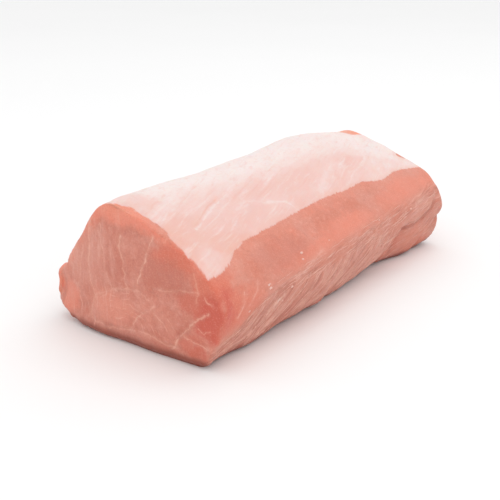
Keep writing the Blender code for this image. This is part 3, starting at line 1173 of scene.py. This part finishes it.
def loin_material(colours):
    """Skin, fat cover and cuts of the joint."""
    material, wiring, shader = surface_material(
        "raw_pork", colours.side_lean, roughness=0.48, subsurface=0.25)
    place = object_place(wiring)
    x, y, z = wiring.parts(place)
    rim_node = wiring.node("ShaderNodeAttribute", attribute_name="rim")
    rim = Field(wiring, rim_node.outputs["Fac"])
    fray = wiring.waves(place, 1.4, 3.0, 0.7)
    waves = wiring.waves(place, 9.0)
    level = (x - z * HAIR_LEAN) * (1 / HAIR_WIDTH)
    hairs = wiring.vector(level, z * (1 / HAIR_LENGTH), y * (1 / HAIR_LENGTH))
    fringe = wiring.waves(hairs, 1.0, 2.0, 0.6)
    inside = fat_inside(wiring, place) + fray * 1.6 + waves * 3.0 + fringe * 3.0
    cut = (rim + fray * 1.2).rise(-0.5, 0.7)
    uncut = 1.0 - cut
    fat = inside.rise(-0.7, 0.9) * uncut
    fibres = fibre_share(wiring, place) * uncut

    lean = lean_colour(wiring, place, cut, rim, inside, colours)
    lean = with_fibres(wiring, place, lean, fibres, colours)
    lean = with_wisps(wiring, place, lean, uncut, colours)
    lean = with_streaks(wiring, place, lean, cut, colours)
    lean = with_ripples(wiring, place, lean, cut, colours)
    lean = with_seams(wiring, place, lean, cut, colours)
    grain = wiring.noise(place, 0.8, 3.0, 0.7)
    lean = wiring.blend(grain.rise(0.5, 0.75) * 0.3, lean, colours.fibre)
    lean = wiring.blend(grain.rise(0.5, 0.25) * 0.3, lean, colours.gap)
    # Painted shade near the floor and painted contact shade along it
    lean = with_contact(wiring, place, cut, lean, colours)
    colour = wiring.blend(fat, lean, fat_colour(wiring, place, inside, colours))
    wiring.feed(shader.inputs["Base Color"], colour)

    speckle = wiring.noise(place, 3.0, 3.0, 0.6)
    wiring.feed(shader.inputs["Roughness"], speckle * 0.16 + fat * 0.06 + 0.38)
    threads = fibre_noise(wiring, place, *RIDGE_SIZE, 3.0, 0.6)
    height = grain * 0.4 + threads * fibres * (1.0 - fat) * 1.2 + speckle * 0.6
    feed_bump(wiring, shader, height, strength=0.6, distance=0.5 * MM)
    return material


def length_property(name, description, default, lowest=0.0):
    """A length that is given here in mm and kept in metres."""
    return FloatProperty(
        name=name, description=description, default=default * MM, min=lowest * MM, unit="LENGTH",
        precision=5)


class LoinShape(bpy.types.PropertyGroup):
    """Sizes of the joint's relief."""

    fibre_depth: length_property("Fibre depth", "Height of the ridges of fibre on the flanks", 0.6)
    seam_depth: length_property(
        "Seam depth", "Depth of the grooves between muscles on the front cut", 0.8)
    fold_depth: length_property("Fold depth", "Depth of a fold whose own depth is 1", 0.9)
    fat_depth: length_property(
        "Fat depth", "How far the fat cover and its unevenness stand out", 0.5)
    swelling: length_property("Swelling", "Height of a swelling whose own height is 1", 1.0)
    levels: IntProperty(
        name="Levels", description="How often the joint's faces are split and rounded",
        default=2, min=0, max=3)


def colour_property(name, description, colour):
    """An opaque colour."""
    return FloatVectorProperty(
        name=name, description=description, subtype="COLOR", size=4, min=0.0, max=1.0,
        default=(*colour, 1.0))


class LoinStrands(bpy.types.PropertyGroup):
    """Sizes of the strands and flecks of tissue on the long flank."""

    spacing: length_property("Spacing", "Mean distance between strands", 4.5, 1.0)
    length: length_property("Length", "Length of the longest strand", 26.0, 1.0)
    thickness: length_property("Thickness", "Thickness of a strand at its middle", 0.35, 0.05)
    fleck_size: length_property("Fleck size", "Mean width of the largest fleck", 1.7, 0.1)
    seed: IntProperty(name="Seed", description="Which random arrangement is made", default=3, min=0)


class LoinColours(bpy.types.PropertyGroup):
    """Colours of the joint."""

    side_lean: colour_property("Side lean", "Lean meat under the skin", (0.635, 0.203, 0.133))
    # Painted light on the top of the front rim, and the thin lean at the far rim
    bright_lean: colour_property("Bright lean", "Thin lean meat at the far rim", (0.84, 0.33, 0.22))
    warm_lean: colour_property("Warm lean", "Lean meat where it is warmest", (0.79, 0.248, 0.165))
    cut_lean: colour_property("Cut lean", "Muscle on the cuts", (0.6, 0.2, 0.14))
    pale_lean: colour_property("Pale lean", "Paler muscle", (0.66, 0.262, 0.195))
    peach_lean: colour_property("Peach lean", "Small muscle on the cuts", (0.76, 0.283, 0.2))
    dull_lean: colour_property("Dull lean", "Muscle where it is greyest", (0.56, 0.175, 0.122))
    ruddy_lean: colour_property("Ruddy lean", "Lean meat beside the corner", (0.685, 0.178, 0.11))
    red_lean: colour_property("Red lean", "Redder muscle near the corner", (0.62, 0.155, 0.1))
    dark_lean: colour_property("Dark lean", "The dark muscle at the corner", (0.6, 0.115, 0.075))
    fibre_lean: colour_property("Fibrous lean", "Lean meat between fibres", (0.585, 0.205, 0.143))
    silver_lean: colour_property("Silvery lean", "Lean meat under fine fibres", (0.635, 0.277, 0.213))
    # Painted shade, with a duller tone, where the muscle turns under
    bevel_lean: colour_property("Bevel lean", "Muscle that turns under", (0.51, 0.192, 0.143))
    # Painted contact shade along the floor
    contact: colour_property("Contact", "Dark edge along the floor", (0.28, 0.068, 0.044))
    # Painted shade in grooves, under folds and near the floor, and dark grain and mottle
    gap: colour_property("Gap", "Grooves between fibres", (0.43, 0.13, 0.09))
    fibre: colour_property("Fibre", "Silvery fibres", (0.8, 0.45, 0.36))
    seam: colour_property("Seam", "White tissue between muscles", (0.83, 0.45, 0.34))
    fleck: colour_property("Fleck", "Flecks of fat on the flank", (0.78, 0.52, 0.46))
    white_fat: colour_property("White fat", "Fat cover where it is thick", (0.84, 0.725, 0.7))
    pink_fat: colour_property("Pink fat", "Fat cover where meat shows through", (0.795, 0.485, 0.432))
    peach_fat: colour_property("Peach fat", "Fat cover where it is thinnest", (0.78, 0.42, 0.34))


class LoinStage(bpy.types.PropertyGroup):
    """Camera, light and floor."""

    eye: FloatVectorProperty(
        name="Eye", description="Where the camera stands", subtype="TRANSLATION", unit="LENGTH",
        default=(-0.4167, -0.3018, 0.2064))
    heading: FloatProperty(
        name="Heading", description="Direction of the camera, from +X towards +Y",
        default=math.radians(37.5), subtype="ANGLE")
    tilt: FloatProperty(
        name="Tilt", description="How far the camera looks down", default=math.radians(20),
        subtype="ANGLE")
    lens: FloatProperty(
        name="Lens", description="Focal length on a 36 mm sensor, in mm", default=61.78, min=1.0)
    sky: FloatProperty(name="Sky", description="Strength of the light all round", default=0.95, min=0.0)
    key: FloatProperty(
        name="Key light", description="Strength of the large light above", default=6.0, min=0.0,
        subtype="POWER")
    floor: colour_property("Floor", "Colour of the floor", (0.93, 0.93, 0.93))


class OBJECT_OT_loin_joint(bpy.types.Operator):
    """Make the joint itself, with its relief and its skin, fat and cut surfaces"""

    bl_idname = "object.loin_joint"
    bl_label = "Joint"

    def execute(self, context):
        sizes = context.scene.loin_shape
        shape = closed_copy("loin")
        places = rim_places(shape)
        mesh = bpy.data.meshes.new("loin_joint")
        shape.to_mesh(mesh)
        shape.free()
        joint = new_piece("loin_joint", mesh)
        round_off(joint, sizes.levels)
        refine(joint.data)
        store_rim(joint.data, places)
        joint.data.materials.clear()
        material = loin_material(context.scene.loin_colours)
        joint.data.materials.append(material)
        run_tree(joint, relief_tree(), {
            "Fibre Depth": sizes.fibre_depth,
            "Seam Depth": sizes.seam_depth,
            "Fold Depth": sizes.fold_depth,
            "Fat Depth": sizes.fat_depth,
            "Swelling": sizes.swelling,
            "Material": material,
        })
        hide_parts("loin")
        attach(joint, "root")
        return {"FINISHED"}


def floor_material(colour):
    """A matt floor that is a little paler here and there."""
    material, wiring, shader = surface_material("floor", colour, roughness=0.9, subsurface=0.0)
    place = wiring.node("ShaderNodeTexCoord").outputs["Object"]
    paler = tuple(min(1.0, c * 1.02) for c in colour[:3]) + (1.0,)
    wiring.feed(shader.inputs["Base Color"], wiring.blend(wiring.noise(place, 0.4), colour, paler))
    return material


def nearest_place(wiring, surface, place):
    """The place on a surface that is nearest to a place in mm."""
    inputs = {"Geometry": surface, "Sample Position": wiring.scaled(place, MM)}
    node = wiring.node("GeometryNodeProximity", inputs, target_element="FACES")
    return node.outputs["Position"]


def fibre_turn(wiring, normal, place):
    """Rotation that lays +X along the fibres at a place in mm, and +Z along a surface's normal."""
    high = wiring.parts(place)[2].rise(HIGH_FROM, HIGH_TO) * HIGH_LEAN
    run = high + fibre_lean(wiring, place)
    inputs = {"Primary Axis": normal, "Secondary Axis": wiring.vector(run, 0.0, 1.0)}
    node = wiring.node("FunctionNodeAxesToRotation", inputs, primary_axis="Z", secondary_axis="X")
    return node.outputs[0]


def random_share(wiring, low, seed):
    """A random number between low and 1."""
    inputs = {2: low, 3: 1.0, "Seed": seed}
    node = wiring.node("FunctionNodeRandomValue", inputs, data_type="FLOAT")
    return Field(wiring, node.outputs[1])


def strand_tree():
    """Geometry nodes that lay thin strands on a surface, along the fibres of the flank."""
    kinds = {
        "Spacing": "NodeSocketFloat",
        "Length": "NodeSocketFloat",
        "Thickness": "NodeSocketFloat",
        "Seed": "NodeSocketInt",
    }
    tree, wiring, given = new_geometry_tree("strands", kinds)
    surface = given["Geometry"]
    place = positions(wiring)[1]
    x, _, z = wiring.parts(place)
    share = fibre_share(wiring, place).rise(0.2, 0.8) * fat_inside(wiring, place).rise(0.0, -3.0)
    share = share * x.rise(-125.0, -116.0) * x.rise(124.0, 118.0) * z.rise(3.0, 6.0)
    share = share * (1.0 - x.rise(30.0, 75.0) * 0.7)
    spacing = Field(wiring, given["Spacing"])
    inputs = {"Mesh": surface, "Density": share / (spacing * spacing), "Seed": given["Seed"]}
    scattered = wiring.node("GeometryNodeDistributePointsOnFaces", inputs)

    line = wiring.node("GeometryNodeCurvePrimitiveLine", {"Start": (-0.5, 0, 0), "End": (0.5, 0, 0)})
    line = wiring.node("GeometryNodeResampleCurve", {"Curve": line.outputs[0], "Count": STRAND_POINTS})
    length = Field(wiring, given["Length"]) * random_share(wiring, SHORTEST_STRAND, given["Seed"])
    turn = fibre_turn(wiring, scattered.outputs["Normal"], place)
    size = wiring.vector(length, length, length)
    strands = copied(wiring, scattered.outputs["Points"], line.outputs[0], turn, size)
    wavy = wiring.wander(place, *STRAND_BEND)
    laid = moved_to(wiring, strands, nearest_place(wiring, surface, wavy))
    along = Field(wiring, wiring.node("GeometryNodeSplineParameter").outputs["Factor"])
    taper = along * (1.0 - along) * (4.0 * (1.0 - TIP_SHARE)) + TIP_SHARE
    inputs = {"Resolution": STRAND_SIDES, "Radius": 0.5}
    ring = wiring.node("GeometryNodeCurvePrimitiveCircle", inputs)
    inputs = {
        "Curve": laid,
        "Profile Curve": ring.outputs[0],
        "Scale": taper * Field(wiring, given["Thickness"]),
        "Fill Caps": True,
    }
    tube = wiring.node("GeometryNodeCurveToMesh", inputs)
    finish_tree(wiring, tube.outputs[0], given["Material"])
    return tree


def fleck_tree():
    """Geometry nodes that put a small uneven lump of fat on a surface at each point."""
    kinds = {"Surface": "NodeSocketObject", "Size": "NodeSocketFloat", "Seed": "NodeSocketInt"}
    tree, wiring, given = new_geometry_tree("flecks", kinds)
    target = wiring.node("GeometryNodeObjectInfo", {"Object": given["Surface"]}).outputs["Geometry"]
    position, place = positions(wiring)
    points = moved_to(wiring, given["Geometry"], nearest_place(wiring, target, place))
    normal = wiring.node("GeometryNodeInputNormal").outputs[0]
    inputs = {"Mesh": target, "Value": normal, "Sample Position": position}
    outwards = wiring.node("GeometryNodeSampleNearestSurface", inputs, data_type="FLOAT_VECTOR")
    lump = wiring.node("GeometryNodeMeshIcoSphere", {"Radius": 0.5, "Subdivisions": 3}).outputs[0]
    size = Field(wiring, given["Size"]) * random_share(wiring, SMALLEST_FLECK, given["Seed"])
    turn = fibre_turn(wiring, outwards.outputs["Value"], place)
    lumps = copied(wiring, points, lump, turn, wiring.vector(*(size * side for side in FLECK_FORM)))
    uneven = wiring.scaled(wiring.wander(place, 1.6, 1.1), MM)
    finish_tree(wiring, moved_to(wiring, lumps, uneven), given["Material"])
    return tree


def tissue_material(name, first, second, roughness):
    """White tissue whose colour varies between two."""
    material, wiring, shader = surface_material(name, first, roughness, subsurface=0.0)
    place = object_place(wiring)
    share = wiring.noise(place, 6.0, 4.0, 0.6).rise(0.4, 0.62)
    wiring.feed(shader.inputs["Base Color"], wiring.blend(share, first, second))
    speckle = wiring.noise(place, 1.2, 3.0, 0.6)
    wiring.feed(shader.inputs["Roughness"], speckle * 0.2 + (roughness - 0.1))
    feed_bump(wiring, shader, speckle, strength=0.4, distance=0.3 * MM)
    return material


class OBJECT_OT_loin_strands(bpy.types.Operator):
    """Lay silvery strands of tissue on the fibres of the long flank"""

    bl_idname = "object.loin_strands"
    bl_label = "Strands"

    def execute(self, context):
        sizes = context.scene.loin_strands
        colours = context.scene.loin_colours
        joint = bpy.data.objects["loin_joint"]
        strands = new_piece("loin_strands", joint.data.copy())
        strands.data.materials.clear()
        material = tissue_material("strand", tuple(colours.fibre), tuple(colours.silver_lean), 0.4)
        run_tree(strands, strand_tree(), {
            "Spacing": sizes.spacing,
            "Length": sizes.length,
            "Thickness": sizes.thickness,
            "Seed": sizes.seed,
            "Material": material,
        })
        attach(strands, "root")
        return {"FINISHED"}


class OBJECT_OT_loin_flecks(bpy.types.Operator):
    """Put small flecks of fat on the long flank"""

    bl_idname = "object.loin_flecks"
    bl_label = "Flecks"

    def execute(self, context):
        sizes = context.scene.loin_strands
        colours = context.scene.loin_colours
        joint = bpy.data.objects["loin_joint"]
        places = bmesh.new()
        for x, z in FLECK_PLACES:
            start = (x * MM, FLECK_START * MM, z * MM)
            places.verts.new(joint.ray_cast(start, (0.0, 1.0, 0.0))[1])
        mesh = bpy.data.meshes.new("loin_flecks")
        places.to_mesh(mesh)
        places.free()
        flecks = new_piece("loin_flecks", mesh)
        material = tissue_material("fleck", tuple(colours.fleck), tuple(colours.fibre), 0.45)
        run_tree(flecks, fleck_tree(), {
            "Surface": joint,
            "Size": sizes.fleck_size,
            "Seed": sizes.seed,
            "Material": material,
        })
        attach(flecks, "root")
        return {"FINISHED"}


class OBJECT_OT_loin_stage(bpy.types.Operator):
    """Make the floor, the light and the camera"""

    bl_idname = "object.loin_stage"
    bl_label = "Stage"

    FLOOR_SIZE = 12.0
    LIGHT_SIZE = 1.6
    LIGHT_PLACE = (0.1, -0.5, 1.5)
    NEAREST_SEEN = 0.01

    def execute(self, context):
        scene = context.scene
        stage = scene.loin_stage
        bpy.ops.mesh.primitive_plane_add(size=self.FLOOR_SIZE)
        floor = context.active_object
        floor.name = "floor"
        floor.data.materials.append(floor_material(tuple(stage.floor)))

        world = bpy.data.worlds.new("sky")
        world.use_nodes = True
        sky = world.node_tree.nodes["Background"]
        sky.inputs["Color"].default_value = (1.0, 1.0, 1.0, 1.0)
        sky.inputs["Strength"].default_value = stage.sky
        scene.world = world

        lamp = bpy.data.lights.new("key", "AREA")
        lamp.energy = stage.key
        lamp.size = self.LIGHT_SIZE
        key = bpy.data.objects.new("key", lamp)
        key.location = self.LIGHT_PLACE
        key.rotation_euler = Vector(self.LIGHT_PLACE).to_track_quat("Z", "Y").to_euler()
        scene.collection.objects.link(key)

        camera = bpy.data.objects.new("camera", bpy.data.cameras.new("camera"))
        camera.data.lens = stage.lens
        camera.data.clip_start = self.NEAREST_SEEN
        camera.location = stage.eye
        camera.rotation_euler = (math.pi / 2 - stage.tilt, 0, stage.heading - math.pi / 2)
        scene.collection.objects.link(camera)
        scene.camera = camera
        scene.view_settings.view_transform = "Standard"
        return {"FINISHED"}


class VIEW3D_PT_pork_loin(bpy.types.Panel):
    """Lists the steps that make the joint"""

    bl_label = "Pork loin"
    bl_space_type = "VIEW_3D"
    bl_region_type = "UI"
    bl_category = "Pork loin"

    def draw(self, context):
        for operator in OPERATORS:
            self.layout.operator(operator.bl_idname)
        for name in PROPERTIES:
            group = getattr(context.scene, name)
            for key in group.__annotations__:
                self.layout.prop(group, key)


OPERATORS = (
    OBJECT_OT_loin_joint,
    OBJECT_OT_loin_strands,
    OBJECT_OT_loin_flecks,
    OBJECT_OT_loin_stage,
)
PROPERTIES = {
    "loin_shape": LoinShape,
    "loin_strands": LoinStrands,
    "loin_colours": LoinColours,
    "loin_stage": LoinStage,
}


def register():
    for made in (*PROPERTIES.values(), *OPERATORS, VIEW3D_PT_pork_loin):
        bpy.utils.register_class(made)
    for name, group in PROPERTIES.items():
        setattr(bpy.types.Scene, name, PointerProperty(type=group))


def unregister():
    for name in PROPERTIES:
        delattr(bpy.types.Scene, name)
    for made in (VIEW3D_PT_pork_loin, *OPERATORS, *PROPERTIES.values()):
        bpy.utils.unregister_class(made)


def main():
    register()
    bpy.ops.object.loin_joint()
    bpy.ops.object.loin_strands()
    bpy.ops.object.loin_flecks()
    bpy.ops.object.loin_stage()


if __name__ == "__main__":
    main()
